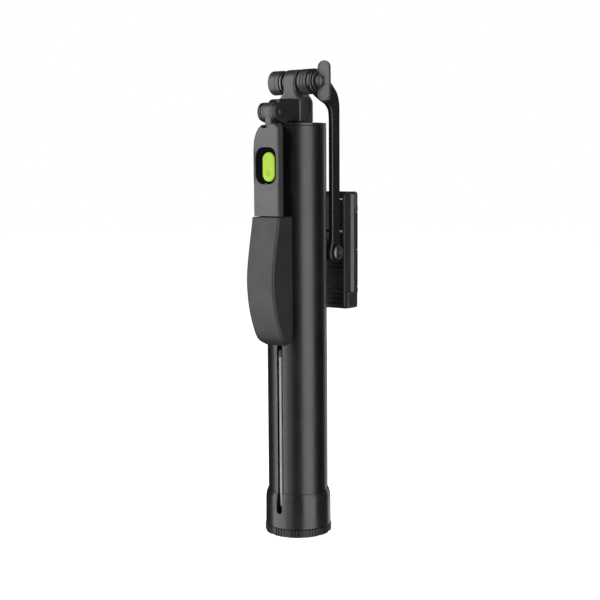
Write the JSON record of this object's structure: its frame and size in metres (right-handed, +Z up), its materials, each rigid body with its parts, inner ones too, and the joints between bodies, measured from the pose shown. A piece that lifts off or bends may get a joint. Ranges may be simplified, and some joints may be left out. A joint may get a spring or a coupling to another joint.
{
  "type": "selfie stick",
  "caption": "Folding selfie stick: slotted column with telescopic pole, fold-out tripod legs, pan handle with shutter remote, and a phone clamp on a bent arm.",
  "frame": {"origin": "centre of the rubber foot pad's underside, on the column's axis", "axes": "+Z up along the column, -Y towards the pan handle, +X towards the wing nut"},
  "size_m": [0.0386, 0.0678, 0.2437],
  "materials": {
    "column": "satin black anodised",
    "casing": "satin black, lightly textured",
    "moulding": "satin black moulded plastic",
    "grip": "soft-touch matt rubber",
    "leg": "black satin plated steel",
    "steel": "bright turned steel",
    "pole": "polished tube",
    "button": "bright green, semi gloss",
    "board": "green circuit board"
  },
  "bodies": {
    "column": {"foot_pad": "grip", "knurled_base_cap": "moulding", "base_screw": "steel", "base_hub": "moulding", "column_tube": "column", "column_top_cap": "moulding", "pole_outer_tube": "pole", "leg_pin_1": "steel", "leg_pin_2": "steel", "leg_pin_3": "steel"},
    "leg_1": {"leg_1": "leg", "leg_foot_1": "grip"},
    "leg_2": {"leg_2": "leg", "leg_foot_2": "grip"},
    "leg_3": {"leg_3": "leg", "leg_foot_3": "grip"},
    "section_1": {"pole_section_1": "pole"},
    "section_2": {"pole_section_2": "pole"},
    "section_3": {"pole_section_3": "pole"},
    "section_4": {"pole_section_4": "pole"},
    "section_5": {"pole_section_5": "pole", "pan_stud": "steel"},
    "head": {"head_post": "casing", "tilt_bolt": "steel", "tilt_knob": "casing", "knob_washer": "steel", "spring_washer": "leg", "friction_disc": "grip", "handle_bracket": "moulding", "bracket_screw": "steel", "handle_pin": "steel"},
    "wing_nut": {"wing_nut": "moulding"},
    "arm": {"arm": "moulding", "tilt_barrel": "casing", "flange_washer": "steel", "pivot_screw": "steel"},
    "handle": {"handle_spine": "casing", "handle_front_shell": "casing", "handle_back_shell": "moulding", "handle_screw": "steel", "grip_sleeve": "grip"},
    "remote": {"remote_shell": "casing", "remote_board": "board", "remote_cell": "steel"},
    "shutter_button": {"shutter_button": "button"},
    "clamp_knuckle": {"clamp_knuckle": "moulding"},
    "clamp": {"clamp_housing": "moulding", "swivel_stud": "steel", "jaw_spring": "steel", "lower_lip_pin": "steel"},
    "jaw": {"clamp_slider": "casing", "upper_lip_pin": "steel"},
    "lower_lip": {"lower_lip": "moulding", "lower_lip_pad": "grip"},
    "upper_lip": {"upper_lip": "moulding", "upper_lip_pad": "grip"}
  },
  "joints": [
    {"name": "leg_1_fold", "type": "hinge", "parent": "column", "child": "leg_1", "pos_m": [0, -0.012, 0.0174], "axis": [1, 0, 0], "range_deg": [0, 100]},
    {"name": "leg_2_fold", "type": "hinge", "parent": "column", "child": "leg_2", "pos_m": [0.01039, 0.006, 0.0174], "axis": [-0.5, 0.866, 0], "range_deg": [0, 100]},
    {"name": "leg_3_fold", "type": "hinge", "parent": "column", "child": "leg_3", "pos_m": [-0.01039, 0.006, 0.0174], "axis": [-0.5, -0.866, 0], "range_deg": [0, 100]},
    {"name": "pole_slide_1", "type": "slide", "parent": "column", "child": "section_1", "axis": [0, 0, 1], "range_m": [0, 0.16]},
    {"name": "pole_slide_2", "type": "slide", "parent": "section_1", "child": "section_2", "axis": [0, 0, 1], "range_m": [0, 0.16]},
    {"name": "pole_slide_3", "type": "slide", "parent": "section_2", "child": "section_3", "axis": [0, 0, 1], "range_m": [0, 0.16]},
    {"name": "pole_slide_4", "type": "slide", "parent": "section_3", "child": "section_4", "axis": [0, 0, 1], "range_m": [0, 0.16]},
    {"name": "pole_slide_5", "type": "slide", "parent": "section_4", "child": "section_5", "axis": [0, 0, 1], "range_m": [0, 0.16]},
    {"name": "head_pan", "type": "hinge", "parent": "section_5", "child": "head", "pos_m": [0, 0, 0.216], "axis": [0, 0, 1], "continuous": true},
    {"name": "arm_tilt", "type": "hinge", "parent": "head", "child": "arm", "pos_m": [0, 0, 0.2335], "axis": [1, 0, 0], "range_deg": [0, 180]},
    {"name": "wing_nut_turn", "type": "hinge", "parent": "head", "child": "wing_nut", "pos_m": [0.0145, 0, 0.2335], "axis": [1, 0, 0], "continuous": true},
    {"name": "handle_fold", "type": "hinge", "parent": "head", "child": "handle", "pos_m": [0, -0.022, 0.2179], "axis": [-1, 0, 0], "range_deg": [0, 135]},
    {"name": "remote_pull", "type": "slide", "parent": "handle", "child": "remote", "axis": [0, -1, 0], "range_m": [0, 0.012]},
    {"name": "button_press", "type": "slide", "parent": "remote", "child": "shutter_button", "axis": [0, 1, 0], "range_m": [0, 0.0006], "stiffness_N_per_m": 1500},
    {"name": "clamp_tilt", "type": "hinge", "parent": "arm", "child": "clamp_knuckle", "pos_m": [0.0085, 0.017, 0.1463], "axis": [1, 0, 0], "range_deg": [-12, 3.5]},
    {"name": "clamp_swivel", "type": "hinge", "parent": "clamp_knuckle", "child": "clamp", "pos_m": [0, 0.0226, 0.1463], "axis": [0, 1, 0], "continuous": true},
    {"name": "jaw_open", "type": "slide", "parent": "clamp", "child": "jaw", "axis": [0, 0, 1], "range_m": [0, 0.038], "stiffness_N_per_m": 150, "springref_m": -0.01},
    {"name": "lower_lip_fold", "type": "hinge", "parent": "clamp", "child": "lower_lip", "pos_m": [0, 0.03265, 0.1264], "axis": [-1, 0, 0], "range_deg": [0, 90]},
    {"name": "upper_lip_fold", "type": "hinge", "parent": "jaw", "child": "upper_lip", "pos_m": [0, 0.03265, 0.1676], "axis": [1, 0, 0], "range_deg": [0, 90]}
  ]
}
